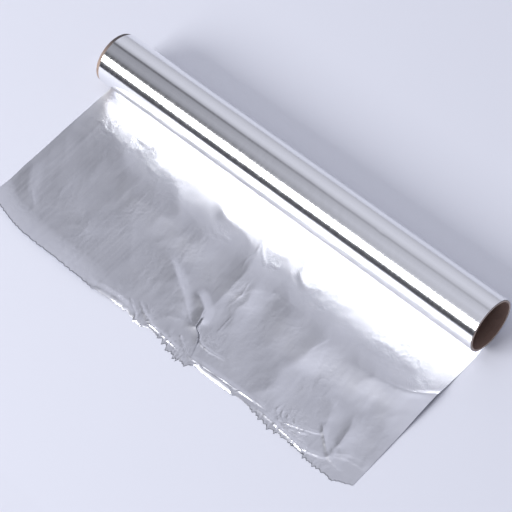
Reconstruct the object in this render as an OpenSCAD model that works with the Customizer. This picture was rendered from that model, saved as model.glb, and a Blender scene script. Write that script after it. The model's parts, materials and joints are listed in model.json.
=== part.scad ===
// Household aluminium foil on a cardboard tube, lying on its side with a torn length pulled out in front.
// X runs along the tube, the pulled-out length lies towards -Y, and +Z is up.
// The origin is on the tube's axis, halfway along the width of the foil.

/* [Cardboard tube] */
// Inside diameter of the tube
bore_d = 32; // [20:0.5:60]
// Thickness of the tube's wall
tube_wall = 1.1; // [0.8:0.1:4]
// How far the tube stands out past the foil at the left end
tube_left = 2.6; // [0.4:0.1:10]
// How far the tube stands out past the foil at the right end
tube_right = 0.4; // [0.4:0.1:10]
// Rounding of the cut rims of the tube
tube_round = 0.25; // [0.05:0.05:0.35]

/* [Wound foil] */
// Width of the foil
foil_w = 300; // [200:5:450]
// Thickness of all the turns that are still on the tube
wound_t = 0.75; // [0.7:0.05:20]
// Gap left between the tube and the first turn
wound_gap = 0.05; // [0.02:0.01:0.2]
// How far the packed turns stand out at the two ends
turn_step = 0.16; // [0.05:0.01:0.3]
// Width of the small flat that the roll rests on
flat_w = 4; // [2:0.5:10]

/* [Pulled-out sheet] */
// Distance from the tube's axis to the torn front edge
sheet_reach = 121; // [80:1:300]
// Thickness that the single layer of foil is drawn with
sheet_t = 0.3; // [0.25:0.05:0.5]
// Height of the sharpest creases above the table
crease_h = 3.4; // [1:0.1:6]
// Height of the shallow dents between the creases
dent_h = 0.9; // [0.2:0.1:2]
// How far the teeth of the tear stand out
tear_h = 2.2; // [0.5:0.1:4]
// How far the front edge turns up where it is bent
lip_h = 2.4; // [0.5:0.1:5]

/* [Hidden] */

$fn = 96;
tube_r = bore_d / 2 + tube_wall;
hub_r = tube_r + wound_gap;
roll_r = hub_r + wound_t;
flat_drop = roll_r - sqrt(roll_r * roll_r - flat_w * flat_w / 4);
table_z = flat_drop - roll_r;

// Columns across the sheet and rows along it
cols = 96;
rows = 22;
// The rows stay flat this far from the tangent line, where the roll still covers them
covered = roll_r * 0.75;

// Creases as [x1, y1, x2, y2, height, width on its left, width on its right].
// x is a share of the foil's width from its middle, y a share of the reach from the roll's axis,
// and the height is a share of crease_h.
CREASES = [
    // The knot left of the middle of the front edge, and the ridges that run out of it
    [0.035, 0.80, 0.066, 0.87, 1.00, 0.020, 0.060],
    [0.066, 0.87, 0.074, 0.99, 0.90, 0.020, 0.050],
    [0.050, 0.50, 0.060, 0.68, 0.45, 0.040, 0.050],
    [0.060, 0.68, 0.086, 0.86, 0.55, 0.060, 0.040],
    [0.076, 0.89, 0.130, 0.88, 0.45, 0.020, 0.030],
    [-0.120, 0.63, -0.013, 0.77, 0.36, 0.080, 0.120],
    [-0.013, 0.77, 0.020, 0.82, 0.36, 0.080, 0.120],
    [0.000, 0.71, 0.036, 0.81, 0.60, 0.050, 0.030],
    // Short crinkles where the sheet comes out from under the roll
    [0.010, 0.27, 0.052, 0.35, 0.35, 0.030, 0.030],
    [0.034, 0.34, 0.078, 0.35, 0.30, 0.020, 0.030],
    [0.106, 0.24, 0.136, 0.32, 0.35, 0.030, 0.025],
    [-0.100, 0.38, -0.040, 0.37, 0.22, 0.020, 0.030],
    [-0.372, 0.22, -0.350, 0.32, 0.30, 0.030, 0.030],
    [-0.320, 0.19, -0.300, 0.26, 0.25, 0.020, 0.025],
    [-0.445, 0.27, -0.405, 0.29, 0.20, 0.020, 0.020],
    // The wide soft folds of the quiet left half
    [-0.427, 0.28, -0.360, 0.34, 0.24, 0.120, 0.160],
    [-0.360, 0.34, -0.307, 0.46, 0.26, 0.120, 0.160],
    [-0.307, 0.46, -0.253, 0.50, 0.26, 0.210, 0.160],
    [-0.253, 0.50, -0.100, 0.51, 0.26, 0.210, 0.160],
    [-0.233, 0.61, -0.300, 0.76, 0.18, 0.130, 0.150],
    [-0.300, 0.76, -0.400, 0.82, 0.18, 0.130, 0.150],
    // The soft fold in the left front corner
    [-0.496, 0.70, -0.455, 0.79, 0.35, 0.050, 0.040],
    [-0.455, 0.79, -0.410, 0.87, 0.35, 0.050, 0.040],
    [-0.410, 0.87, -0.300, 0.92, 0.25, 0.050, 0.040],
    // The crushed stretch left of the knot
    [-0.075, 0.92, -0.050, 0.98, 0.45, 0.020, 0.025],
    [-0.060, 0.96, -0.010, 0.98, 0.40, 0.025, 0.015],
    // The crushed patch and the folded corner on the right
    [0.275, 0.96, 0.335, 0.92, 0.50, 0.025, 0.030],
    [0.335, 0.92, 0.392, 0.84, 0.55, 0.030, 0.040],
    [0.290, 0.86, 0.318, 0.97, 0.35, 0.020, 0.020],
    [0.335, 0.98, 0.362, 0.88, 0.35, 0.020, 0.020],
    [0.392, 0.84, 0.424, 0.92, 0.60, 0.030, 0.015],
    [0.417, 0.69, 0.430, 0.81, 0.46, 0.090, 0.075],
    [0.430, 0.81, 0.423, 0.92, 0.46, 0.090, 0.075],
    [0.377, 0.71, 0.377, 0.79, 0.46, 0.066, 0.180],
    [0.377, 0.79, 0.390, 0.85, 0.46, 0.066, 0.180],
    [0.496, 0.36, 0.420, 0.44, 0.50, 0.050, 0.040],
    [0.496, 0.40, 0.427, 0.47, 0.36, 0.100, 0.110],
    [0.427, 0.47, 0.327, 0.54, 0.36, 0.100, 0.110],
    [0.430, 0.99, 0.497, 0.85, 0.45, 0.030, 0.030],
    // The long low swells in the right half
    [0.257, 0.54, 0.242, 0.66, 0.62, 0.130, 0.180],
    [0.242, 0.66, 0.240, 0.76, 0.62, 0.130, 0.180],
    [0.240, 0.76, 0.285, 0.91, 0.62, 0.130, 0.180],
    [0.133, 0.46, 0.183, 0.63, 0.24, 0.150, 0.170],
    [0.183, 0.63, 0.167, 0.79, 0.24, 0.150, 0.170],
    // The long low swell in front of the roll
    [-0.233, 0.41, 0.000, 0.44, 0.34, 0.240, 0.240],
    [0.000, 0.44, 0.500, 0.46, 0.34, 0.240, 0.240],
];

// Stretches of the front edge that are bent up, as [from, to, height] in shares of the width and of lip_h
LIPS = [
    [-0.50, -0.41, 0.9],
    [-0.14, -0.05, 0.7],
    [0.085, 0.27, 1.0],
    [0.33, 0.43, 0.6],
];

// Stretches where the tear runs further out or further in, as [middle, half width, distance in tear_h]
TEARS = [
    [0.064, 0.022, 1.5],
    [0.010, 0.030, 0.4],
    [0.165, 0.080, -0.8],
    [-0.090, 0.045, -0.7],
    [-0.450, 0.060, -0.6],
    [0.380, 0.110, 0.3],
];

function clamp01(v) = min(1, max(0, v));
function total(v, i = 0) = i >= len(v) ? 0 : v[i] + total(v, i + 1);
function smooth(v) = let (s = clamp01(v)) s * s * (3 - 2 * s);
function zigzag(v) = abs(2 * (v - floor(v)) - 1);
function scatter(i) = let (s = sin(i * 1297.31 + 57) * 437.58) s - floor(s);

// Height of one crease over the point u, v: a ridge with two straight flanks that fades out at both ends
function ridge(c, u, v) =
    let (dx = (c[2] - c[0]) * foil_w, dy = (c[3] - c[1]) * sheet_reach,
         px = (u - c[0]) * foil_w, py = (v - c[1]) * sheet_reach,
         run = sqrt(dx * dx + dy * dy),
         along = (px * dx + py * dy) / run,
         past = max(0, -along, along - run),
         side = (px * dy - py * dx) / run,
         reach = (side > 0 ? c[5] : c[6]) * sheet_reach,
         away = sqrt(side * side + past * past))
    c[4] * clamp01(1 - away / reach);

// Flat facets between the creases: three sets of straight folds that cross each other
function dents(u, v) =
    let (x = u * foil_w, y = v * sheet_reach)
    zigzag(x / 47 + y / 83 + 0.2) * 0.45 + zigzag(x / 71 - y / 39 + 0.4) * 0.35
        + zigzag(x / 23 + y / 19 + 0.1) * 0.2;

// The dents begin past the roll and grow towards the free edge
function dent_share(v) = smooth((v * sheet_reach - covered) / (sheet_reach * 0.35)) * (0.35 + 0.65 * v);
function crease_share(v) = smooth((v * sheet_reach - covered) / (roll_r * 0.4));

function lip(u) = max([for (l = LIPS)
    l[2] * smooth((u - l[0]) / 0.02) * smooth((l[1] - u) / 0.02)]);
function lip_share(v) = let (s = clamp01((v - 0.955) / 0.045)) s * s;

function lift(u, v) =
    dent_h * dent_share(v) * dents(u, v)
        + crease_h * crease_share(v) * max([for (c = CREASES) ridge(c, u, v)])
        + lip_h * lip_share(v) * lip(u);

function tear(i) =
    let (u = i / cols - 0.5)
    tear_h * (scatter(i) - 0.5) + tear_h * total([for (t = TEARS) t[2] * smooth(1 - abs(u - t[0]) / t[1])]);

// Share of the reach at each row: coarse under the roll and close together at the torn edge
function row_v(j) = let (s = j / rows) 1 - pow(1 - s, 1.25);

function sheet_point(i, j) =
    let (u = i / cols - 0.5, v = row_v(j), out = v * sheet_reach + tear(i) * smooth((v - 0.9) / 0.1))
    [u * foil_w, -out, table_z + lift(u, v)];

// The tube: one turned profile with rounded rims, laid along X
module core_tube() {
    color("tan")
    rotate([0, 90, 0])
    rotate_extrude()
    translate([bore_d / 2, -foil_w / 2 - tube_left])
    rim_section(tube_wall, foil_w + tube_left + tube_right, tube_round);
}

// A long thin rectangle with its four corners rounded
module rim_section(w, h, r) {
    polygon([for (c = [[w - r, h - r, 0], [r, h - r, 90], [r, r, 180], [w - r, r, 270]])
        for (a = [0, 30, 60, 90]) [c[0] + r * cos(c[2] + a), c[1] + r * sin(c[2] + a)]]);
}

// The wound foil: the outer turn starts at the table, goes once round the roll and ends up inside its own start
module wound_turns() {
    slices = 120;
    rotate([90, 0, 90])
    translate([0, 0, -foil_w / 2])
    linear_extrude(foil_w)
    difference() {
        polygon([for (k = [0:slices])
            let (a = -90 + k * 360 / slices, r = roll_r - sheet_t * k / slices) [r * cos(a), r * sin(a)]]);
        circle(r = hub_r, $fn = 144);
        translate([-roll_r, table_z - roll_r])
        square([2 * roll_r, roll_r]);
    }
}

// Packed turns that slipped sideways and stand out of both ends in two steps
module end_turns() {
    pack_t = wound_t - sheet_t;
    anchor = 1;
    for (side = [0, 1])
        mirror([side, 0, 0])
        translate([foil_w / 2 - anchor, 0, 0])
        rotate([0, 90, 0]) {
            turn_ring(0.1 * pack_t, 0.5 * pack_t, anchor + turn_step);
            turn_ring(0.4 * pack_t, 0.8 * pack_t, anchor + turn_step / 2);
        }
}

module turn_ring(from, to, h) {
    rotate_extrude($fn = 72)
    translate([hub_r + from, 0])
    square([to - from, h]);
}

// The pulled-out length: an upper and a lower skin that follow the same folds, closed round the rim
module pulled_sheet() {
    n = cols + 1;
    count = n * (rows + 1);
    low = [for (j = [0:rows]) for (i = [0:cols]) sheet_point(i, j)];
    high = [for (p = low) p + [0, 0, sheet_t]];
    skins = [for (j = [0:rows - 1]) for (i = [0:cols - 1]) let (a = i + j * n)
        each (i + j) % 2 == 0
            ? [[a, a + 1, a + n + 1], [a, a + n + 1, a + n]]
            : [[a, a + 1, a + n], [a + 1, a + n + 1, a + n]]];
    rim = concat([for (i = [0:cols]) i], [for (j = [1:rows]) cols + j * n],
        [for (i = [1:cols]) cols - i + rows * n], [for (j = [1:rows - 1]) (rows - j) * n]);
    walls = [for (k = [0:len(rim) - 1]) let (a = rim[k], b = rim[(k + 1) % len(rim)])
        each [[a, b, a + count], [b, b + count, a + count]]];
    polyhedron(concat(low, high), concat(
        [for (f = skins) [f[2], f[1], f[0]]],
        [for (f = skins) [for (k = f) k + count]],
        walls));
}

// All of the foil is one web, wound and unwound
module foil() {
    color("silver")
    union() {
        wound_turns();
        end_turns();
        pulled_sheet();
    }
}

core_tube();
foil();
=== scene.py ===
# A household roll of aluminium foil: wound turns on a kraft tube, and a torn length pulled out in front.
import bpy
import json
import math
import numpy as np
from mathutils import Matrix, Vector


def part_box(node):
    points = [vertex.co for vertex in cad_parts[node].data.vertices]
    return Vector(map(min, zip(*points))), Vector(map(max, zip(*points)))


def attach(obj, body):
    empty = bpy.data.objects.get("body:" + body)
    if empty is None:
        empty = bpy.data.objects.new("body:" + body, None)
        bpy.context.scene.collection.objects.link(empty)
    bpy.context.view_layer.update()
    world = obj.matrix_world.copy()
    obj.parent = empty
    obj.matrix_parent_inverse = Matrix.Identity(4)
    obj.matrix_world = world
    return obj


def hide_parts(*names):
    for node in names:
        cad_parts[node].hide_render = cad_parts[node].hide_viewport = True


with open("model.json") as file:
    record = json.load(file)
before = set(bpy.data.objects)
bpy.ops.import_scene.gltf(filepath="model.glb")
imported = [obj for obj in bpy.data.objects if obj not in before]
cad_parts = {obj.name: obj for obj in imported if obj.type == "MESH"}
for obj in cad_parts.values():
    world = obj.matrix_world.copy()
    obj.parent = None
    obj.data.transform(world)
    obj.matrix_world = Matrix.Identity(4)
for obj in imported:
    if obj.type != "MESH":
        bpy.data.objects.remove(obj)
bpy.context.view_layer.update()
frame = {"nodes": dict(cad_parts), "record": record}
mm = 0.001

# places in metres that everything else is worked out from
tubeLow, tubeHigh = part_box("core_tube")
foilLow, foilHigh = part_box("foil")
boreMount = [m for m in frame["record"]["mounts"] if m["name"] == "core_bore"][0]
boreRadius = boreMount["dims"]["r_mm"] * mm
tubeRadius = tubeHigh.z
foilRadius = foilHigh.y
tableZ = foilLow.z
print("frame loaded: tube radius", round(tubeRadius, 5), "foil radius", round(foilRadius, 5))


# shared number helpers
def smoothStep(v):
    s = np.clip(v, 0.0, 1.0)
    return s * s * (3.0 - 2.0 * s)


# 0 up to the start and 1 past the end; the start may be the larger of the two
def rise(v, start, end):
    return smoothStep((v - start) / (end - start))


# the value at x in rows of (place, value)
def readRows(rows, x):
    return np.interp(x, *zip(*rows))


# a steady random number from 0 to 1 for each whole place
def latticeValue(ix, iy, seed):
    s = np.sin(ix * 127.1 + iy * 311.7 + seed * 74.7) * 43758.5453
    return s - np.floor(s)


# smooth noise from 0 to 1
def softNoise(x, y, cell, seed):
    gx, gy = x / cell, y / cell
    ix, iy = np.floor(gx), np.floor(gy)
    fx, fy = smoothStep(gx - ix), smoothStep(gy - iy)
    near = latticeValue(ix, iy, seed) * (1 - fx) + latticeValue(ix + 1, iy, seed) * fx
    far = latticeValue(ix, iy + 1, seed) * (1 - fx) + latticeValue(ix + 1, iy + 1, seed) * fx
    return near * (1 - fy) + far * fy


# smooth noise along one line
def lineNoise(x, cell, seed):
    return softNoise(x, x * 0, cell, seed)


# smooth noise round 0, whose hills and hollows are less square than softNoise's
def gradientNoise(x, y, cell, seed):
    gx, gy = x / cell + seed * 17.13, y / cell - seed * 9.71
    ix, iy = np.floor(gx), np.floor(gy)
    fx, fy = gx - ix, gy - iy
    shareX, shareY = smoothStep(fx), smoothStep(fy)
    total = 0
    for dx in (0, 1):
        for dy in (0, 1):
            angle = latticeValue(ix + dx, iy + dy, seed) * 2 * math.pi
            push = np.cos(angle) * (fx - dx) + np.sin(angle) * (fy - dy)
            total = total + push * (shareX if dx else 1 - shareX) * (shareY if dy else 1 - shareY)
    return total


def meshObject(name, points, faces, smooth=True):
    mesh = bpy.data.meshes.new(name)
    mesh.from_pydata([tuple(p) for p in points], [], faces)
    mesh.update()
    if smooth:
        mesh.polygons.foreach_set("use_smooth", [True] * len(mesh.polygons))
    piece = bpy.data.objects.new(name, mesh)
    bpy.context.scene.collection.objects.link(piece)
    return piece


# The pulled-out sheet. Its sizes are in mm: x along the roll from its middle, y in front of its axis.
sheetLook = {
    "reach": 121.0,          # from the tube's axis to the front edge
    "columns": 336,
    "rows": 142,
    # the grid is closer where the folds are: share of columns and x, share of rows and of the reach
    "columnSpread": [(0, -150), (0.214, -40), (0.345, 3), (0.512, 27), (0.625, 75), (0.946, 132),
                     (1, 150)],
    "rowSpread": [(0, 0), (0.04, 0.12), (0.5, 0.78), (0.89, 0.972), (1, 1)],
    "thick": 0.04,           # drawn a little thicker than the real foil
    "covered": (14, 24),     # y up to which the sheet is flat under the roll, and from which it is free
    # how far noise pushes a place about before its forms are read, and its size: coarse, then fine
    "facetWander": [(3.0, 24), (0.8, 7)],
    "foldWander": [(0.6, 20), (0.5, 6)],
    "slant": (0.8, 0.6),     # cosine and sine of the angle at which swells and facets lie
    "swell": 0.7,            # height of the low swells all over
    "swellSizes": (42, 19),  # size of the broad ones, and of the smaller ones among them
    "swellRise": (30, 70),   # y over which they grow to their full height
    # flat facets: slope, size, and the shares of x and y that they are read at, which draw them out
    "facets": {"large": (0.024, 21, 0.62, 1), "small": (0.021, 8.5, 1, 0.6),
               "smallest": (0.021, 3.6, 0.7, 1), "crushed": (0.075, 3.4, 0.8, 1)},
    "handledSize": 30,       # size of the patches that have been handled
    "handledRise": (40, 70), # y over which they begin
    "handledFront": (72, 117),   # y over which they grow together
    "smoothOval": (108, 46, 45, 16),   # a smooth place: its middle, and its reach along x and y
    "calmCorner": ((40, 70), (60, 46)),   # x and y over which the facets grow weak, right by the roll
    "sink": 0.35,            # how much of all this lies flat on the table
    "frontSink": 0.75,       # and how much more in front
    "frontSinkRise": (78, 118),
    "sinkSoftness": 0.06,    # how softly a fold comes up off the table, in square mm
    # where the front edge runs
    "edge": [(-150, 114), (-142, 117), (-127, 121), (-114, 122.5), (-53, 122.5), (-38, 121), (-25, 120.3),
             (-18, 122.3), (-13, 122.3), (-8, 120.3), (1, 120.6), (6, 122), (10, 123), (14, 124.4),
             (22, 124.6), (27, 123), (31, 119.8), (35, 120.5), (44, 120.8), (54, 120), (66, 119),
             (72, 119.7), (82, 121), (90, 122.6), (97, 121.6), (103, 121.8), (112, 122.6), (120, 123.4),
             (135, 123.4), (139, 122.8), (144, 121), (150, 118)],
    "settle": (0.6, 5.6),    # how far in from the front edge the sheet comes up off the table
    "fineSettle": (-0.2, 1.2),   # and its ridges and creases
    # how high the front edge curls up, and how far in from the edge the curl reaches
    "curl": [(-150, 2.4), (-110, 2.5), (-78, 2.6), (-55, 1.6), (-34, 0.7), (-20, 0.1), (150, 0.1)],
    "curlReach": 15.0,
    # the torn rim, bent down: x, its height and its width, and how far in its height fades
    "lip": [(-150, 0.0, 0.7), (-62, 0.0, 0.9), (-56, 0.2, 1.6), (-47, 0.75, 2.8), (-33, 0.85, 2.8),
            (-24, 0.5, 1.8), (-18, 0.3, 1.0), (4, 0.2, 0.8), (26, 0.15, 0.7), (30, 0.05, 0.7),
            (60, 0.1, 0.7), (70, 0.2, 0.8), (106, 0.25, 0.9), (150, 0.1, 0.8)],
    "lipFade": 4.0,
    # painted shade along the torn rim: how dark it is, and how wide that dark line is
    "rimShade": [(-150, 0.95), (-64, 0.9), (-52, 0.4), (-36, 0.2), (-6, 0.3), (0, 0.9), (27, 0.9),
                 (30, 0.1), (66, 0.1), (72, 0.9), (140, 0.9), (150, 0.5)],
    "rimShadeWidth": 0.8,
    # saw teeth along the torn edge: pitch, share and seed of two kinds, their length, how long at each x
    "teeth": [(7.0, 0.65, 20), (2.7, 0.7, 22)],
    "tear": 2.6,
    "toothShare": [(-150, 0.3), (-70, 0.5), (-55, 0.6), (-30, 0.7), (-22, 1.2), (-5, 0.9), (5, 1.6),
                   (27, 1.6), (34, 0.25), (68, 0.25), (74, 0.9), (135, 0.9), (150, 0.4)],
    # where the edge is turned back: x where the hem starts, is full, narrows and ends, and its width
    "hems": [(27, 33, 54, 62, 3.0), (104, 110, 112, 118, 1.6)],
    "hemTurn": 0.22,         # radius of the turned edge
    "hemPuff": 1.3,          # how far the hem stands up at most
    "hemRound": 1.8,         # how far in from the turned edge it has mostly done so
    "hemCalm": (0.3, 0.4),   # where a hem is wider than this, teeth and edge keep this share
    "sharpAngle": 65,        # degrees between faces, above which an edge stays sharp
}

# Folds in mm: the points that the crest runs through, its height, how far its two flanks reach
# (first the flank on the +X side of a crest that runs to the front), and how round the crest is.
# A third number at a point is the share of the height that the crest has there.
foldLines = [
    # the pleat right of the middle, and the long folds that run out of it
    ([(12, 94.5, 0.0), (11.8, 97, 0.6), (13, 101.5), (17.5, 104), (20.6, 107.8, 0.9), (22, 112, 0.5),
      (24, 119, 0.2)], 1.7, 1.1, 9, 0.0),
    ([(-5, 84.5, 0.0), (1, 86, 0.9), (9, 90.3), (11.6, 95, 0.9), (12.5, 98, 0.3)], 1.5, 6, 7.0, 0.0),
    ([(-38, 74, 0.1), (-30, 78.5, 0.7), (-18, 85), (-5, 92.5, 0.9), (2, 97, 0.2)], 0.9, 6, 15, 0.06),
    ([(3, 34, 0.4), (9, 47), (12, 62), (11, 78), (11, 90, 0.6)], 0.8, 14, 12, 0.06),
    ([(22, 57, 0.3), (25, 70), (23, 78), (28, 88), (25, 99, 0.5)], 0.6, 12, 8, 0.05),
    ([(-8, 108, 0.4), (0, 104), (8, 102, 0.4)], 0.35, 4, 6, 0.0),
    # the wide soft folds of the right half
    ([(84, 64, 0.3), (76, 73), (71, 89), (74, 101), (84, 110, 0.6)], 1.05, 15, 24, 0.10),
    ([(89, 88, 0.4), (101, 86), (113, 90, 0.5)], 0.5, 9, 7, 0.03),
    ([(121, 83, 0.0), (126, 94, 0.9), (127.5, 104), (127, 111, 0.5), (126, 116, 0.0)], 1.1, 12, 7, 0.02),
    ([(111, 100, 0.0), (115, 104, 0.9), (121, 109), (126.5, 113.5, 0.4), (129, 116, 0.0)],
     1.1, 6, 3.2, 0.02),
    ([(110, 86, 0.0), (112, 95), (114, 101, 0.6), (115, 107, 0.0)], 0.7, 7, 14, 0.05),
    ([(154, 44, 0.4), (145, 51, 0.9), (134, 58), (116, 62), (98, 65, 0.3)], 0.9, 12, 13, 0.03),
    ([(151, 45), (146, 49.5), (139, 55.5), (131, 58, 0.2)], 0.6, 3.5, 1.6, 0.0),
    ([(129, 110, 0.7), (136, 105), (148, 103, 0.4)], 0.6, 3.5, 5, 0.03),
    ([(134, 109, 0.5), (147, 106, 0.4)], 0.5, 3, 3, 0.03),
    ([(125, 113, 0.0), (130, 114.5, 0.9), (136, 115.5), (144, 115, 0.1)], 0.7, 6, 3.2, 0.0),
    # the quiet left half
    ([(-92, 56, 0.5), (-76, 60), (-48, 58), (-30, 62, 0.5)], 0.8, 26, 19, 0.08),
    ([(-128, 34, 0.4), (-108, 41), (-92, 56, 0.5)], 0.7, 15, 20, 0.08),
    ([(-147, 82, 0.2), (-142, 90), (-134, 99), (-122, 105, 0.5)], 0.55, 8, 9, 0.05),
    ([(-128, 103, 0.5), (-103, 107), (-70, 112, 0.3)], 0.3, 9, 10, 0.05),
    ([(-62, 70, 0.3), (-90, 90), (-124, 96, 0.3)], 0.5, 20, 22, 0.15),
    ([(-34, 31, 0.4), (-27, 36), (-18, 37, 0.4)], 0.5, 6, 6, 0.03),
    ([(-60, 44, 0.4), (-50, 50), (-45, 56, 0.4)], 0.5, 10, 8, 0.05),
    ([(40, 56, 0.3), (55, 76), (50, 96, 0.3)], 0.6, 20, 22, 0.15),
    ([(33, 27, 0.5), (37, 37), (44, 42, 0.4)], 0.6, 5, 4, 0.0),
    # the long low swells in front of the roll
    ([(-70, 48), (0, 52), (80, 56), (130, 55), (155, 54, 0.4)], 2.0, 28, 28, 0.6),
    ([(36, 56, 0.2), (60, 57), (110, 57), (140, 56), (153, 55, 0.4)], 1.9, 37, 28, 0.5),
    ([(-150, 40, 0.3), (-130, 42, 0.7), (-112, 44), (-95, 45), (-78, 47, 0.3)], 1.3, 25, 26, 0.5),
    ([(-45, 54, 0.2), (-20, 54), (20, 56), (40, 56, 0.3)], 0.6, 26, 24, 0.5),
]

# thin ridges in mm, written in the same way, that stand up from where the sheet lies on the table
thinRidges = [
    ([(20.5, 107.5, 0.0), (24, 108.2, 0.7), (31, 108.4), (40, 107, 0.3)], 0.55, 2.0, 0.9, 0.0),
    ([(-24, 111.5, 0.3), (-15, 115.5, 0.8), (-8, 118.2), (1, 118.3), (10, 118.8), (15, 119.4, 0.5),
      (18, 119.6, 0.0)], 0.68, 2.2, 0.95, 0.0),
    ([(20, 118, 0.0), (26, 118.6, 0.8), (35, 117.5), (47, 116.6), (62, 115.8), (75, 114.8),
      (88, 115, 0.2)], 0.6, 3.4, 1.1, 0.0),
    ([(72, 117.5, 0.0), (80, 117.4, 0.8), (92, 118), (105, 119.6), (113, 120), (122, 117.6),
      (128, 115, 0.0)], 0.65, 3.0, 1.5, 0.0),
    ([(88, 114.6, 0.2), (98, 113), (104, 111), (112, 107.6, 0.8), (116, 105, 0.0)], 0.55, 2.8, 0.9, 0.0),
    ([(-20, 119, 0.2), (-17.5, 121.5), (-14, 120, 0.3)], 0.5, 1.4, 0.9, 0.0),
]

# where the foil closes over itself in the pleat: the line of painted shade for the dark gap there, and
# how wide it is
shadedGapWidth = 0.9
shadedGapLine = [(12, 95, 0.0), (12.1, 97.5, 0.3), (13.5, 101.6, 0.8), (18, 104.2), (21.1, 108),
           (22.3, 112, 0.5), (24, 117, 0.3)]

# sharp creases in mm: the points they run through, and their height before creaseGain
creaseGain = 1.15
creaseFlanks = (1.4, 1.0)    # how far their two flanks reach
creaseLines = [
    ([(12, 72, 0.5), (16, 72), (20, 70), (18, 62, 0.4)], 0.3),
    ([(18, 79, 0.5), (19, 70), (22, 64, 0.5)], 0.22),
    ([(16, 75, 0.5), (24, 84), (25, 96, 0.4)], 0.2),
    ([(17, 43), (23, 42.5)], 0.3),
    ([(-26, 47), (-19, 48), (-12, 47)], 0.25),
    ([(10, 112), (16, 116), (22, 118)], 0.3),
    ([(-19, 123), (-16, 119.5), (-12, 122)], 0.3),
    ([(-30, 113), (-22, 117), (-19, 121)], 0.3),
    ([(86, 106, 0.2), (86, 111), (90, 115, 0.1)], 0.32),
    ([(89, 107, 0.2), (90, 111), (94, 114, 0.1)], 0.32),
    ([(93, 107, 0.2), (94, 110), (98, 113, 0.1)], 0.32),
    ([(97, 108, 0.2), (99, 110), (103, 111.5, 0.1)], 0.32),
    ([(92, 114, 0.1), (100, 116), (111, 115.5, 0.3)], 0.5),
    ([(95, 118, 0.1), (100, 115), (107, 112), (112, 110, 0.3)], 0.5),
    ([(97, 114, 0.1), (103, 118), (109, 118, 0.3)], 0.5),
    ([(80, 114, 0.2), (88, 117, 0.5), (96, 120, 0.2)], 0.25),
    ([(101, 119), (104, 114), (105, 110, 0.3)], 0.2),
    ([(128, 113), (137, 108), (148, 107)], 0.2),
    ([(149, 50), (137, 57), (125, 59), (95, 63, 0.3)], 0.2),
    ([(-40, 59, 0.4), (-60, 59), (-90, 56, 0.4)], 0.1),
    ([(-85, 73, 0.4), (-75, 88, 0.4)], 0.1),
    ([(-138, 88, 0.4), (-133, 97), (-122, 106, 0.4)], 0.16),
    ([(-33, 78, 0.4), (-20, 84), (-5, 93), (5, 100)], 0.15),
    ([(-139, 33, 0.3), (-134, 34), (-130, 37), (-123, 36, 0.4)], 0.3),
    ([(-133, 30, 0.4), (-128, 33), (-124, 40, 0.4)], 0.25),
    ([(-109, 27, 0.4), (-105, 29), (-101, 28), (-96, 34, 0.4)], 0.3),
    ([(-97, 20, 0.4), (-95, 24), (-98, 29, 0.4)], 0.28),
    ([(-103, 33, 0.4), (-97, 36), (-91, 35, 0.4)], 0.25),
    ([(-90, 38, 0.4), (-84, 41), (-80, 40, 0.4)], 0.2),
    ([(2, 32), (9, 40), (16, 46)], 0.25),
    ([(3, 33), (6, 42), (5, 50), (9, 60, 0.4)], 0.2),
]

# crushed spots in mm: x, y, reach, strength
crushedSpots = [
    (-131, 33, 9, 0.8), (-107, 30, 9, 0.8), (-94, 26, 7, 0.7), (-19, 47, 9, 0.4), (13, 34, 7, 0.5),
    (19, 42, 7, 0.7), (36, 34, 8, 0.6), (16, 68, 12, 0.6), (27, 104, 10, 0.8), (-16, 115, 10, 0.9),
    (95, 114, 15, 0.9), (107, 115, 10, 0.9), (138, 49, 9, 0.5), (6, 119, 9, 0.8), (18, 119, 9, 1.0),
    (-70, 120, 12, 0.15), (-40, 119, 12, 0.25), (128, 118, 12, 0.6), (146, 104, 8, 0.4),
]


# dished facets that meet in sharp straight ridges
def dishes(x, y, cell, seed):
    gx, gy = x / cell + seed * 7.31, y / cell + seed * 3.17
    ix, iy = np.floor(gx), np.floor(gy)
    best = np.full_like(gx, 9.0)
    for dx in (-1, 0, 1):
        for dy in (-1, 0, 1):
            jx, jy = ix + dx, iy + dy
            px = gx - jx - latticeValue(jx, jy, seed)
            py = gy - jy - latticeValue(jx, jy, seed + 1)
            lean = latticeValue(jx, jy, seed + 2) * 2 * math.pi
            dish = px * px + py * py + 0.4 * (px * np.cos(lean) + py * np.sin(lean))
            best = np.minimum(best, dish + 0.15 * latticeValue(jx, jy, seed + 3))
    return best * cell


def facets(kind, x, y, seed):
    slope, size, alongX, alongY = sheetLook["facets"][kind]
    return slope * dishes(x * alongX, y * alongY, size, seed)


# the height beside a crest: 1 on it, 0 at the foot of its flank
def crest(away, flank, roundness):
    t = away / flank
    whole = math.sqrt(1 + roundness * roundness) - roundness
    t = (np.sqrt(t * t + roundness * roundness) - roundness) / whole
    return np.clip(1 - t, 0, 1) ** 1.5


def foldLift(x, y, fold):
    line, height, flankA, flankB, roundness = fold
    best = np.zeros_like(x)
    points = [(*point, 1.0)[:3] for point in line]
    for (x1, y1, share1), (x2, y2, share2) in zip(points, points[1:]):
        run = math.hypot(x2 - x1, y2 - y1)
        ax, ay = (x2 - x1) / run, (y2 - y1) / run
        along = np.clip((x - x1) * ax + (y - y1) * ay, 0, run)
        dx, dy = x - x1 - along * ax, y - y1 - along * ay
        side = dx * ay - dy * ax
        flank = np.where(side > 0, flankA, flankB)
        share = share1 + (share2 - share1) * along / run
        best = np.maximum(best, share * crest(np.hypot(dx, dy), flank, roundness))
    return best * height


# pushes places about, so that no ridge is quite straight
def wander(x, y, pushes):
    (coarse, coarseSize), (fine, fineSize) = pushes
    wx = x + coarse * gradientNoise(x, y, coarseSize, 3) + fine * gradientNoise(x, y, fineSize, 4)
    wy = y + coarse * gradientNoise(x, y, coarseSize, 5) + fine * gradientNoise(x, y, fineSize, 6)
    return wx, wy


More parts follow.
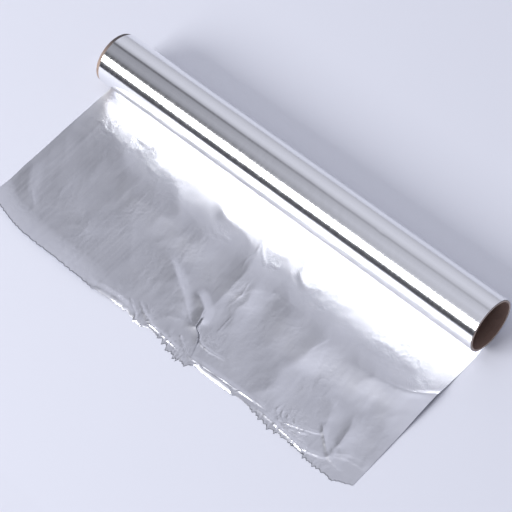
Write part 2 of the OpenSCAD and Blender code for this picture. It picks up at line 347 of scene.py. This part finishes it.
# low swells and flat facets: large ones everywhere, small ones mostly where the foil has been handled
def swellsAndFacets(x, y):
    look = sheetLook
    wx, wy = wander(x, y, look["facetWander"])
    slantCos, slantSin = look["slant"]
    sx, sy = slantCos * wx + slantSin * wy, slantCos * wy - slantSin * wx
    long, short = look["swellSizes"]
    swells = 0.6 + gradientNoise(sx * 0.8, sy, long, 7) + 0.6 * gradientNoise(sx, sy, short, 8)
    ovalX, ovalY, reachX, reachY = look["smoothOval"]
    patches = 1.3 * gradientNoise(x, y, look["handledSize"], 11)
    handled = smoothStep(0.35 + patches + 0.4 * rise(y, *look["handledFront"]))
    handled *= 1 - 0.85 * smoothStep(1.4 - np.hypot((x - ovalX) / reachX, (y - ovalY) / reachY))
    handled *= 0.05 + 0.95 * rise(y, *look["handledRise"])
    calmX, calmY = look["calmCorner"]
    calm = 1 - 0.7 * rise(x, *calmX) * rise(y, *calmY)
    lift = look["swell"] * (0.2 + 0.8 * rise(y, *look["swellRise"])) * swells
    lift += calm * (facets("large", sx, sy, 12) + (0.2 + handled) * facets("small", sx, sy, 16))
    return lift + handled * facets("smallest", wx, wy, 20)


# thin ridges, sharp creases that break up along their length, and crushed foil
def ridgesAndCreases(x, y, foldX, foldY, crushed):
    broken = np.clip(0.6 + 1.6 * gradientNoise(x, y, 4.5, 13), 0.1, 1.1)
    fine = np.zeros_like(x)
    for ridge in thinRidges:
        fine = np.maximum(fine, (0.85 + 0.2 * broken) * foldLift(foldX, foldY, ridge))
    for line, height in creaseLines:
        crease = (line, creaseGain * height, *creaseFlanks, 0.0)
        fine = np.maximum(fine, (0.35 + 0.65 * broken) * foldLift(foldX, foldY, crease))
    wx, wy = wander(x, y, sheetLook["facetWander"])
    return fine + np.minimum(crushed, 1.1) * facets("crushed", wx, wy, 24)


# how high the sheet stands at each place, how crushed it is there, and how much painted shade shows in
# gaps and along the torn rim;
# inward is the distance in from the torn edge
def sheetForms(x, y, inward):
    look = sheetLook
    foldX, foldY = wander(x, y, look["foldWander"])
    lift = swellsAndFacets(x, y) + sum(foldLift(foldX, foldY, fold) for fold in foldLines)
    # the sheet lies on the table where it is lowest, and comes down to it at the front edge
    lift -= look["sink"] + look["frontSink"] * rise(y, *look["frontSinkRise"])
    lift = (lift + np.sqrt(lift * lift + look["sinkSoftness"])) / 2
    lift *= 0.04 + 0.96 * rise(inward, *look["settle"])
    lift += readRows(look["curl"], x) * np.clip(1 - inward / look["curlReach"], 0, 1.1) ** 1.5
    crushed = sum(strength * smoothStep(1.25 - np.hypot(x - spotX, y - spotY) / reach)
                  for spotX, spotY, reach, strength in crushedSpots)
    lift += ridgesAndCreases(x, y, foldX, foldY, crushed) * rise(inward, *look["fineSettle"])
    # the torn rim
    height = readRows([(place, high) for place, high, wide in look["lip"]], x)
    width = readRows([(place, wide) for place, high, wide in look["lip"]], x)
    height *= 0.7 + 0.5 * lineNoise(x, 6, 41)
    bent = 1 - (1 - np.clip(inward / width, 0, 1)) ** 2
    lift += height * bent * rise(inward, width + look["lipFade"], width)
    # painted shade: a dark line along the pleat, where the foil closes over itself
    paintedShade = foldLift(foldX, foldY, (shadedGapLine, 1.0, shadedGapWidth, shadedGapWidth, 0.0))
    # painted shade: a dark line along the torn rim
    rim = readRows(look["rimShade"], x) * np.clip(1.1 - inward / look["rimShadeWidth"], 0, 1)
    return lift * rise(y, *look["covered"]), np.clip(crushed, 0, 1), np.maximum(paintedShade, rim)


# how much of the front edge is turned back over the top
def hemWidth(x):
    width = 0
    for start, full, narrow, end, most in sheetLook["hems"]:
        width = width + most * rise(x, start, full) * rise(x, end, narrow)
    return width * (0.75 + 0.5 * lineNoise(x, 7, 25))


# the front edge's place, with saw teeth whose depth and pitch change along it
def tornEdge(x):
    look = sheetLook
    tooth = 0
    for pitch, most, seed in look["teeth"]:
        phase = x / pitch + 1.4 * lineNoise(x, 9, seed)
        step = np.floor(phase)
        point = (1 - np.abs((phase - step) * 2 - 1)) ** 2.2
        tooth = tooth + most * point * (0.2 + 0.8 * latticeValue(step, 0, seed + 1))
    long = look["tear"] * readRows(look["toothShare"], x)
    return readRows(look["edge"], x), long * (tooth - 0.3)


def buildSheet():
    look = sheetLook
    columns, rows = look["columns"], look["rows"]
    across = readRows(look["columnSpread"], np.linspace(0, 1, columns + 1))
    down = readRows(look["rowSpread"], np.linspace(0, 1, rows + 1))
    x, share = np.meshgrid(across, down)
    hem = hemWidth(x)
    edge, tears = tornEdge(x)
    # where it is turned back, the edge runs straighter and its teeth are lower
    calmFrom, calmShare = look["hemCalm"]
    edge = look["reach"] + (edge + tears - look["reach"]) * np.where(hem > calmFrom, calmShare, 1.0)
    web = share * (edge + hem)
    turn = look["hemTurn"]
    bend = np.clip((web - edge) / turn, 0, math.pi)
    past = np.maximum(web - edge - math.pi * turn, 0)
    y = np.minimum(web, edge) + turn * np.sin(bend) - past
    puff = (0.7 + 0.6 * lineNoise(x, 6, 26)) * look["hemPuff"] * (1 - np.exp(-past / look["hemRound"]))
    lift, crushed, paintedShade = sheetForms(x, y, edge - y)
    z = lift + turn * (1 - np.cos(bend)) + puff
    top = np.stack([x, -y, z], -1)
    # the other side, a foil's thickness below
    normal = np.cross(np.gradient(top, axis=0), np.gradient(top, axis=1))
    normal /= np.linalg.norm(normal, axis=-1, keepdims=True)
    low = top - normal * look["thick"]
    points = np.concatenate([top.reshape(-1, 3), low.reshape(-1, 3)])
    points[:, 2] = np.maximum(points[:, 2] + look["thick"], 0)
    points = points * mm + np.array([0, 0, tableZ])
    n, half = columns + 1, (columns + 1) * (rows + 1)
    faces = []
    for j in range(rows):
        for i in range(columns):
            a = j * n + i
            faces.append((a, a + n, a + n + 1, a + 1))
    faces += [tuple(k + half for k in reversed(f)) for f in faces]
    sides = len(faces)
    rim = list(range(n)) + [columns + j * n for j in range(1, rows + 1)]
    rim += [columns - i + rows * n for i in range(1, n)] + [(rows - j) * n for j in range(1, rows)]
    for a, b in zip(rim, rim[1:] + rim[:1]):
        faces.append((a, b, b + half, a + half))
    piece = meshObject("pulledSheet", points, faces)
    for polygon in list(piece.data.polygons)[sides:]:
        polygon.use_smooth = False
    piece.data.set_sharp_from_angle(angle=math.radians(look["sharpAngle"]))
    # for the material: how crushed the foil is at each point, and where painted shade shows in gaps and
    # along the torn rim
    for label, values in (("crushed", crushed), ("paintedShade", paintedShade)):
        layer = piece.data.attributes.new(label, "FLOAT", "POINT")
        layer.data.foreach_set("value", np.tile(values.ravel(), 2))
    print("sheet built:", len(faces), "faces")
    return piece


# the turns that are still wound, in mm
rollLook = {
    "width": 300.0,          # the foil's own width, which the ends of some turns stand past
    "around": 264,
    "along": 210,
    "turnDrop": 0.3,         # how much the outer turn closes in over one turn
    "ripple": (0.05, 9, 0.35),   # slow unevenness in the winding: height, size, share of x it is read at
    "pucker": (0.012, 3, 1.5),   # quicker unevenness
    "noiseRing": 22,         # radius on which both are read round the roll
    "endSteps": 12,          # turns' edges that show at each end
    "endRough": (0.18, 0.1), # how far they stand out: from turn to turn, and along one turn
    "endRound": 0.06,        # how much the outermost edge is rounded
    "tubeGap": 0.03,         # between the tube and the innermost turn
    "tableGap": 0.02,        # between the turns that are pressed flat and the table
    "sharpAngle": 40,
    # marks on the outer turn: place along the roll, degrees up from the front, reach, height
    "marks": [(20.8, 41.0, 2.0, 0.12), (-99.0, 5.0, 1.6, 0.06), (70.0, 96.0, 3.0, -0.05)],
}


def buildRoll():
    look = rollLook
    around, along, steps = look["around"], look["along"], look["endSteps"]
    outer, inner = foilRadius / mm, tubeRadius / mm + look["tubeGap"]
    lowest = tableZ / mm + look["tableGap"]
    turn = np.linspace(0, 2 * math.pi, around, endpoint=False)
    angles = turn - math.pi / 2
    side = np.degrees(math.pi - angles) % 360      # degrees up from the front
    spiral = outer - look["turnDrop"] * turn / (2 * math.pi)
    noiseX, noiseY = np.sin(angles) * look["noiseRing"] + 60, np.cos(angles) * look["noiseRing"]

    def ring(s, r):
        height = np.maximum(r * np.sin(angles), lowest)
        return np.stack([np.zeros(around) + s, r * np.cos(angles), height], -1)

    def endRings(s, way):
        rings = []
        turnRough, alongRough = look["endRough"]
        for k in range(steps + 1):
            r = inner + (spiral - look["endRound"] - inner) * k / steps
            out = alongRough * softNoise(turn * 5, turn * 0 + k, 2, 52)
            out = (out + turnRough * latticeValue(k, 3, 51 + way)) * (k % 2)
            rings.append(ring(s + way * (out - look["endRound"]), r))
        return rings

    rings = []
    half = look["width"] / 2
    for s in np.linspace(-half, half, along + 1):
        r = spiral
        for (high, size, share), seed in ((look["ripple"], 31), (look["pucker"], 32)):
            r = r + high * (softNoise(noiseX, noiseY + s * share, size, seed) - 0.5)
        for place, lean, reach, height in look["marks"]:
            off = np.hypot(s - place, np.radians(side - lean) * outer)
            r = r + height * smoothStep(1.3 - off / reach)
        rings.append(ring(s, r))
    rings += endRings(half, 1)[::-1] + endRings(-half, -1)
    points = np.concatenate(rings) * mm
    faces = []
    count = len(rings)
    for k in range(count):
        a, b = k * around, ((k + 1) % count) * around
        for i in range(around):
            j = (i + 1) % around
            faces.append((a + i, a + j, b + j, b + i))
    piece = meshObject("woundFoil", points, faces)
    piece.data.set_sharp_from_angle(angle=math.radians(look["sharpAngle"]))
    print("wound turns built:", len(faces), "faces")
    return piece


# small helpers for materials: a socket is linked, and a number or a colour is set
def feed(tree, source, socket):
    if isinstance(source, bpy.types.NodeSocket):
        tree.links.new(source, socket)
    else:
        socket.default_value = source


def addNode(tree, kind, **values):
    node = tree.nodes.new(kind)
    for name, value in values.items():
        if hasattr(node, name):
            setattr(node, name, value)
        else:
            feed(tree, value, node.inputs[name])
    return node


def addMath(tree, operation, *sources, kind="ShaderNodeMath"):
    node = addNode(tree, kind, operation=operation)
    for source, socket in zip(sources, node.inputs):
        feed(tree, source, socket)
    return node.outputs[0]


def addRange(tree, source, fromLow, fromHigh, toLow=0.0, toHigh=1.0):
    node = addNode(tree, "ShaderNodeMapRange", Value=source)
    labels = ("From Min", "From Max", "To Min", "To Max")
    for label, value in zip(labels, (fromLow, fromHigh, toLow, toHigh)):
        node.inputs[label].default_value = value
    return node.outputs["Result"]


# noise seldom leaves the range from 0.3 to 0.7
def between(tree, source, low, high):
    return addRange(tree, source, 0.3, 0.7, low, high)


def mixColour(tree, factor, first, second):
    node = addNode(tree, "ShaderNodeMix", data_type="RGBA")
    feed(tree, factor, node.inputs[0])
    for colour, socket in ((first, node.inputs[6]), (second, node.inputs[7])):
        feed(tree, (*colour, 1) if isinstance(colour, tuple) else colour, socket)
    return node.outputs[2]


def addBump(tree, height, depth, **under):
    return addNode(tree, "ShaderNodeBump", Height=height, Distance=depth, **under).outputs["Normal"]


def newMaterial(name):
    material = bpy.data.materials.new(name)
    material.use_nodes = True
    return material, material.node_tree.nodes["Principled BSDF"].inputs


def newGroup(name, inputs, outputs):
    group = bpy.data.node_groups.new(name, "ShaderNodeTree")
    for label, value in inputs.items():
        socket = group.interface.new_socket(label, in_out="INPUT", socket_type="NodeSocketFloat")
        socket.default_value = value
    for label in outputs:
        group.interface.new_socket(label, in_out="OUTPUT", socket_type="NodeSocketFloat")
    return group, group.nodes.new("NodeGroupInput").outputs, group.nodes.new("NodeGroupOutput").inputs


def placeGroup(tree, group, values):
    node = tree.nodes.new("ShaderNodeGroup")
    node.node_tree = group
    for label, value in values.items():
        node.inputs[label].default_value = value
    return node.outputs


# streaks that run round the roll, as rolling lines in foil and fibres in board do, and spots
def streaksAndSpots():
    values = {"Along": 620.0, "Around": 16.0, "Streak Detail": 3.0, "Streak Roughness": 0.65,
              "Streak Distortion": 0.0, "Spot Scale": 40.0, "Spot Detail": 4.0, "Spot Roughness": 0.6,
              "Spot Distortion": 0.6}
    group, given, out = newGroup("streaksAndSpots", values, ["Streaks", "Spots"])
    place = addNode(group, "ShaderNodeTexCoord").outputs["Object"]
    stretch = addNode(group, "ShaderNodeCombineXYZ", X=given["Along"], Y=given["Around"],
                      Z=given["Around"])
    stretched = addMath(group, "MULTIPLY", place, stretch.outputs[0], kind="ShaderNodeVectorMath")
    streaks = addNode(group, "ShaderNodeTexNoise", Vector=stretched, Scale=1.0,
                      Detail=given["Streak Detail"], Roughness=given["Streak Roughness"],
                      Distortion=given["Streak Distortion"])
    spots = addNode(group, "ShaderNodeTexNoise", Vector=place, Scale=given["Spot Scale"],
                    Detail=given["Spot Detail"], Roughness=given["Spot Roughness"],
                    Distortion=given["Spot Distortion"])
    feed(group, streaks.outputs[0], out["Streaks"])
    feed(group, spots.outputs[0], out["Spots"])
    return group


puckerLook = {
    "driftScale": 120.0,     # noise that bends the cells
    "patchScale": 38.0,
    "patchRange": (0.42, 0.68),   # noise below the first has no dents, above the second has them in full
    "creaseScale": 1.7,      # how many times smaller the cells of the creases are than the dents
    "creaseWidth": 0.16,     # share of a cell
}


# the smallest dents and creases, finer than the mesh
def finePuckers():
    look = puckerLook
    group, given, out = newGroup("finePuckers", {"Scale": 150.0, "Bend": 0.006}, ["Dents", "Creases"])
    place = addNode(group, "ShaderNodeTexCoord").outputs["Object"]
    drift = addNode(group, "ShaderNodeTexNoise", Vector=place, Scale=look["driftScale"], Detail=2.0)
    push = addNode(group, "ShaderNodeVectorMath", operation="SCALE", Vector=drift.outputs["Color"],
                   Scale=given["Bend"])
    moved = addMath(group, "ADD", place, push.outputs[0], kind="ShaderNodeVectorMath")
    # dents, in some patches only
    dents = addNode(group, "ShaderNodeTexVoronoi", feature="F1", Vector=moved, Scale=given["Scale"])
    patches = addNode(group, "ShaderNodeTexNoise", Vector=place, Scale=look["patchScale"], Detail=2.0)
    mask = addRange(group, patches.outputs[0], *look["patchRange"])
    feed(group, addMath(group, "MULTIPLY", dents.outputs["Distance"], mask), out["Dents"])
    # thin sharp crests along the edges of smaller cells
    smaller = addMath(group, "MULTIPLY", given["Scale"], look["creaseScale"])
    edges = addNode(group, "ShaderNodeTexVoronoi", feature="DISTANCE_TO_EDGE", Vector=moved,
                    Scale=smaller)
    crests = addRange(group, edges.outputs["Distance"], 0.0, look["creaseWidth"], 1.0, 0.0)
    feed(group, crests, out["Creases"])
    return group


brightLook = {
    "tones": [(0.90, 0.905, 0.92), (0.94, 0.945, 0.955)],
    "roughness": [0.11, 0.17],
    "streaks": {"Along": 620.0, "Around": 16.0, "Spot Scale": 40.0},
    "puckers": {"Scale": 150.0, "Bend": 0.006},
    "streakDepth": 0.000010,     # these depths are in metres
    "puckerDepth": 0.000004,
    "creaseDepth": 0.0,
    "gapShadeTone": None,
}
satinLook = {
    "tones": [(0.79, 0.80, 0.85), (0.85, 0.855, 0.895)],
    "roughness": [0.33, 0.41],
    "streaks": {"Along": 700.0, "Around": 18.0, "Spot Scale": 55.0},
    "puckers": {"Scale": 230.0, "Bend": 0.010},
    "streakDepth": 0.000016,
    "puckerDepth": 0.00013,
    "creaseDepth": 0.00005,
    # painted shade: the dark tone laid into the pleat's gap and along the torn rim
    "gapShadeTone": (0.10, 0.105, 0.13),
}
kraftLook = {
    "outside": [(0.30, 0.215, 0.175), (0.42, 0.31, 0.25)],
    # painted shade: a darker, greyer tone for the top and back of the outside
    "shadedOutside": [(0.07, 0.062, 0.062), (0.12, 0.10, 0.098)],
    "inside": [(0.23, 0.145, 0.12), (0.38, 0.26, 0.21)],
    "cut": [(0.44, 0.35, 0.30), (0.60, 0.50, 0.44)],
    "roughness": [0.55, 0.8],
    "fibres": {"Along": 1400.0, "Around": 160.0, "Streak Detail": 5.0, "Streak Roughness": 0.7,
               "Streak Distortion": 0.8, "Spot Scale": 900.0, "Spot Detail": 1.0, "Spot Roughness": 0.5,
               "Spot Distortion": 0.0},
    "cutDepth": 0.00015,     # metres at each end that count as the cut face
    "wallBlend": (-0.0002, 0.0003),   # metres from the wall's middle over which inside turns to outside
    "outsideShadeBlend": (-0.014, 0.001),     # Y in metres over which the outside turns to its painted shade at the back
    "seamPitch": 0.062,      # metres that the wound strip advances in one turn
    "seamWidth": 0.012,      # share of a turn
    "seamShade": 0.65,       # how dark the seam is: 1 isn't dark at all
    "fibreDepth": 0.00008,   # metres
}


def foilMaterial(name, look, groups):
    material, inputs = newMaterial(name)
    tree = material.node_tree
    streaks = placeGroup(tree, groups["streaks"], look["streaks"])
    puckers = placeGroup(tree, groups["puckers"], look["puckers"])
    tone = mixColour(tree, streaks["Spots"], *look["tones"])
    # painted shade: a dark tone where the pleat's gap and the torn rim are
    if look["gapShadeTone"]:
        paintedShade = addNode(tree, "ShaderNodeAttribute", attribute_name="paintedShade")
        tone = mixColour(tree, paintedShade.outputs["Fac"], tone, look["gapShadeTone"])
    normal = addBump(tree, streaks["Streaks"], look["streakDepth"])
    normal = addBump(tree, puckers["Dents"], look["puckerDepth"], Normal=normal)
    if look["creaseDepth"]:
        crushed = addNode(tree, "ShaderNodeAttribute", attribute_name="crushed")
        height = addMath(tree, "MULTIPLY", puckers["Creases"], crushed.outputs["Fac"])
        normal = addBump(tree, height, look["creaseDepth"], Normal=normal)
    inputs["Metallic"].default_value = 1.0
    feed(tree, tone, inputs["Base Color"])
    feed(tree, between(tree, streaks["Streaks"], *look["roughness"]), inputs["Roughness"])
    feed(tree, normal, inputs["Normal"])
    return material


def kraftMaterial(groups):
    look = kraftLook
    material, inputs = newMaterial("kraftBoard")
    tree = material.node_tree
    board = placeGroup(tree, groups["streaks"], look["fibres"])
    outside, shadedOutside, inside, cut = (mixColour(tree, board["Streaks"], *look[side])
                                         for side in ("outside", "shadedOutside", "inside", "cut"))
    place = addNode(tree, "ShaderNodeTexCoord").outputs["Object"]
    along, back, up = addNode(tree, "ShaderNodeSeparateXYZ", Vector=place).outputs
    # painted shade: the outside is paler in front, where the light falls, and darker and greyer towards
    # the top and back
    outside = mixColour(tree, addRange(tree, back, *look["outsideShadeBlend"]), outside, shadedOutside)
    # distance from the axis tells the inside from the outside
    flat = addMath(tree, "MULTIPLY", place, (0, 1, 1), kind="ShaderNodeVectorMath")
    away = addNode(tree, "ShaderNodeVectorMath", operation="LENGTH", Vector=flat).outputs["Value"]
    wallMiddle = (boreRadius + tubeRadius) / 2
    wall = addRange(tree, away, *(wallMiddle + blend for blend in look["wallBlend"]))
    tone = mixColour(tree, wall, inside, outside)
    # paler where the board is cut across
    left = addMath(tree, "LESS_THAN", along, tubeLow.x + look["cutDepth"])
    right = addMath(tree, "GREATER_THAN", along, tubeHigh.x - look["cutDepth"])
    tone = mixColour(tree, addMath(tree, "MAXIMUM", left, right), tone, cut)
    # the seam of the wound strip, a screw line: turns round the axis and the advance along it
    turns = addMath(tree, "DIVIDE", addMath(tree, "ARCTAN2", up, back), 2 * math.pi)
    advance = addMath(tree, "DIVIDE", along, look["seamPitch"])
    loop = addMath(tree, "FRACT", addMath(tree, "ADD", turns, advance))
    seam = addRange(tree, loop, 0.0, look["seamWidth"])
    shade = addMath(tree, "MULTIPLY_ADD", seam, 1 - look["seamShade"], look["seamShade"])
    seamed = addNode(tree, "ShaderNodeVectorMath", operation="SCALE", Vector=tone, Scale=shade)
    feed(tree, seamed.outputs[0], inputs["Base Color"])
    feed(tree, between(tree, board["Spots"], *look["roughness"]), inputs["Roughness"])
    height = addMath(tree, "MULTIPLY_ADD", board["Streaks"], 0.5, seam)
    feed(tree, addBump(tree, height, look["fibreDepth"]), inputs["Normal"])
    return material


def plainMaterial(name, colour, roughness, glow=0.0):
    material, inputs = newMaterial(name)
    inputs["Base Color"].default_value = (*colour, 1)
    inputs["Roughness"].default_value = roughness
    inputs["Emission Strength"].default_value = glow
    return material


sheet = buildSheet()
roll = buildRoll()
groups = {"streaks": streaksAndSpots(), "puckers": finePuckers()}
sheet.data.materials.append(foilMaterial("satinFoil", satinLook, groups))
roll.data.materials.append(foilMaterial("brightFoil", brightLook, groups))
tube = frame["nodes"]["core_tube"]
tube.data.materials.clear()
tube.data.materials.append(kraftMaterial(groups))
print("materials made: satinFoil, brightFoil, kraftBoard")
for piece in (sheet, roll):
    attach(piece, "root")
    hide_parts("foil")
print("pieces placed on the body root")

# floor, cards, lamps and world, in metres and degrees
stageLook = {
    "floor": {"reach": 6.0, "drop": 0.00003, "colour": (0.72, 0.735, 0.815)},
    # the low and high edge of the lamp in degrees above the table, and how bright its face is
    "frontLight": {"low": 21.5, "high": 45.0, "distance": 2.4, "length": 2.0, "side": -1.2, "power": 9.6},
    "topLight": {"place": (-0.5, -0.5, 2.2), "size": 1.8, "power": 1.13},
    # how far in front its foot and its top edge stand, and the height of that edge from left to right
    "darkCard": {"foot": 0.24, "distance": 0.36, "colour": (0.07, 0.07, 0.08),
                 "top": [(-1.3, 0.182), (-0.42, 0.182), (-0.35, 0.169), (-0.27, 0.138), (-0.15, 0.135),
                         (0.0, 0.137), (1.3, 0.157)]},
    # a glowing card just beyond the roll's left end: from and to along the roll
    "endCard": {"near": -0.154, "far": -0.178, "height": 0.038, "glow": 1.9},
    # the sky: angle above the front horizon, level, and how much of the dome's middle shows there
    "worldStops": [(-20, 0.6, 0), (0, 0.6, 0), (20, 0.55, 0), (46, 0.5, 0), (50, 0.44, 1),
                   (56, 0.45, 1), (66, 0.48, 1), (80, 0.54, 1), (106, 0.46, 1), (110, 0.36, 1),
                   (113, 0.35, 1), (116, 0.5, 0.6), (121, 0.56, 0.25), (127, 0.63, 0), (137, 0.68, 0),
                   (160, 0.6, 0), (180, 0.47, 0), (200, 0.5, 0)],
    # from left (-1) to right (1): level over the front and back, and over the dome's middle,
    # and how dark the two bands are there
    "sideStops": [(-1.0, 0.5, 0.3, 0.8), (-0.75, 0.75, 0.35, 0.8), (-0.52, 1.0, 0.67, 0.78),
                  (-0.47, 1.0, 0.765, 0.5), (-0.43, 1.0, 0.91, 0.12), (-0.38, 1.0, 1.12, 0.05),
                  (-0.32, 1.0, 1.17, 0.0), (-0.05, 1.05, 1.5, 0), (0.25, 1.0, 2.0, 0),
                  (0.42, 0.6, 0.8, 0), (0.5, 0.45, 0.25, 0), (1.0, 0.45, 0.15, 0)],
    # the two dark bands: angle, share
    "bandStops": [(44, 0), (50, 1), (57, 1), (68, 0.15), (80, 0), (105, 0), (109.5, 0.7), (113.5, 0.7),
                  (117, 0)],
    "worldTint": (0.975, 0.99, 1.12),
}


def buildFloor():
    look = stageLook["floor"]
    far = look["reach"]
    corners = [(x, y, tableZ) for x, y in ((-far, -far), (far, -far), (far, far), (-far, far))]
    floor = meshObject("floor", corners, [(0, 1, 2, 3)], smooth=False)
    floor.location.z = -look["drop"]
    floor.data.materials.append(plainMaterial("paleTable", look["colour"], 0.6))


# a card that only the foil mirrors
def stageCard(name, points, faces, material):
    card = meshObject(name, points, faces, smooth=False)
    card.data.materials.append(material)
    card.visible_camera = card.visible_diffuse = card.visible_shadow = False


# a black card low in front, leaning away, and a glowing one for the left end of the sheet's white zone
def buildCards():
    look = stageLook["darkCard"]
    top = look["top"]
    points = [(x, -look["foot"], tableZ) for x, height in top]
    points += [(x, -look["distance"], tableZ + height) for x, height in top]
    faces = [(k, k + 1, k + 1 + len(top), k + len(top)) for k in range(len(top) - 1)]
    stageCard("darkCard", points, faces, plainMaterial("darkCard", look["colour"], 0.9))
    look = stageLook["endCard"]
    near, far, high = look["near"], look["far"], tableZ + look["height"]
    points = [(far, 0, tableZ), (near, 0, tableZ), (near, 0, high), (far, 0, high)]
    stageCard("endCard", points, [(0, 1, 2, 3)], plainMaterial("endGlow", (0, 0, 0), 0.9, look["glow"]))


def areaLamp(name, middle, up, back, wide, high, power):
    lamp = bpy.data.lights.new(name, "AREA")
    lamp.shape = "RECTANGLE"
    lamp.size, lamp.size_y = wide, high
    lamp.energy = power * math.pi * wide * high
    lampObject = bpy.data.objects.new(name, lamp)
    bpy.context.scene.collection.objects.link(lampObject)
    turned = Matrix((up.cross(back), up, back)).transposed().to_4x4()
    lampObject.matrix_world = Matrix.Translation(middle) @ turned
    return lampObject


def buildLights():
    look = stageLook["frontLight"]
    low, high, far = math.radians(look["low"]), math.radians(look["high"]), look["distance"]
    foot = Vector((look["side"], -far * math.cos(low), far * math.sin(low)))
    head = Vector((look["side"], -far * math.cos(high), far * math.sin(high)))
    up = (head - foot).normalized()
    back = Vector((1, 0, 0)).cross(up)
    middle, high = (foot + head) / 2, (head - foot).length
    areaLamp("frontSoftbox", middle, up, back, look["length"], high, look["power"])
    look = stageLook["topLight"]
    place = Vector(look["place"])
    back = place.normalized()
    up = (Vector((0, 1, 0)) - back * back.y).normalized()
    top = areaLamp("topSoftbox", place, up, back, look["size"], look["size"], look["power"])
    top.visible_glossy = False


# a ramp from rows of (place, colour), where places run from first to last
def addRamp(tree, source, first, last, rows):
    ramp = addNode(tree, "ShaderNodeValToRGB", Fac=source)
    elements = ramp.color_ramp.elements
    while len(elements) < len(rows):
        elements.new(0.5)
    for element, (place, colour) in zip(elements, rows):
        element.position = (place - first) / (last - first)
        element.color = colour
    return ramp.outputs


def buildWorld():
    look = stageLook
    world = bpy.data.worlds.new("studio")
    bpy.context.scene.world = world
    world.use_nodes = True
    tree = world.node_tree
    place = addNode(tree, "ShaderNodeTexCoord").outputs["Generated"]
    right, back, up = addNode(tree, "ShaderNodeSeparateXYZ", Vector=place).outputs
    # the angle from the front horizon over the top to the back
    turn = addMath(tree, "ARCTAN2", up, addMath(tree, "MULTIPLY", back, -1))
    first, last = look["worldStops"][0][0], look["worldStops"][-1][0]
    span = addRange(tree, turn, math.radians(first), math.radians(last))
    tint = Vector(look["worldTint"])
    rows = [(angle, (*(tint * level), middle)) for angle, level, middle in look["worldStops"]]
    sky = addRamp(tree, span, first, last, rows)
    rows = [(angle, (dark, dark, dark, 1)) for angle, dark in look["bandStops"]]
    bands = addRamp(tree, span, first, last, rows)
    # how the level changes from left to right
    rows = [(side, (*levels, 1)) for side, *levels in look["sideStops"]]
    sides = addRamp(tree, addRange(tree, right, -1.0, 1.0), -1, 1, rows)
    ends, middle, dark = addNode(tree, "ShaderNodeSeparateColor", Color=sides["Color"]).outputs
    share = addNode(tree, "ShaderNodeMix", Factor=sky["Alpha"], A=ends, B=middle).outputs["Result"]
    # the two dark bands, which fade out to the right
    kept = addMath(tree, "SUBTRACT", 1, addMath(tree, "MULTIPLY", bands["Color"], dark))
    level = addNode(tree, "ShaderNodeVectorMath", operation="SCALE", Vector=sky["Color"],
                    Scale=addMath(tree, "MULTIPLY", share, kept))
    feed(tree, level.outputs[0], tree.nodes["Background"].inputs["Color"])


# fitted to the roll's two ends, its outline and the sheet's corners; the target is X and Y on the table
cameraLook = {"azimuth": 53.57, "elevation": 57.72, "roll": -12.19, "distance": 1.1948,
              "target": (0.0067, -0.0438), "lens": 141.86, "sensor": 36, "clip": (0.05, 30)}


def buildCamera():
    look = cameraLook
    a, e, t = (math.radians(look[k]) for k in ("azimuth", "elevation", "roll"))
    back = Vector((math.sin(a) * math.cos(e), -math.cos(a) * math.cos(e), math.sin(e)))
    right = (-back).cross(Vector((0, 0, 1))).normalized()
    up = right.cross(-back)
    tiltRight = math.cos(t) * right + math.sin(t) * up
    tiltUp = math.cos(t) * up - math.sin(t) * right
    camera = bpy.data.cameras.new("camera")
    camera.sensor_width = look["sensor"]
    camera.lens = look["lens"]
    camera.clip_start, camera.clip_end = look["clip"]
    cameraObject = bpy.data.objects.new("camera", camera)
    bpy.context.scene.collection.objects.link(cameraObject)
    target = Vector((*look["target"], tableZ))
    turned = Matrix((tiltRight, tiltUp, back)).transposed().to_4x4()
    cameraObject.matrix_world = Matrix.Translation(target + back * look["distance"]) @ turned
    bpy.context.scene.camera = cameraObject


buildFloor()
buildCards()
buildLights()
buildWorld()
print("floor, cards, lamps and world built")
buildCamera()
bpy.context.scene.view_settings.view_transform = "Standard"
print("camera placed")
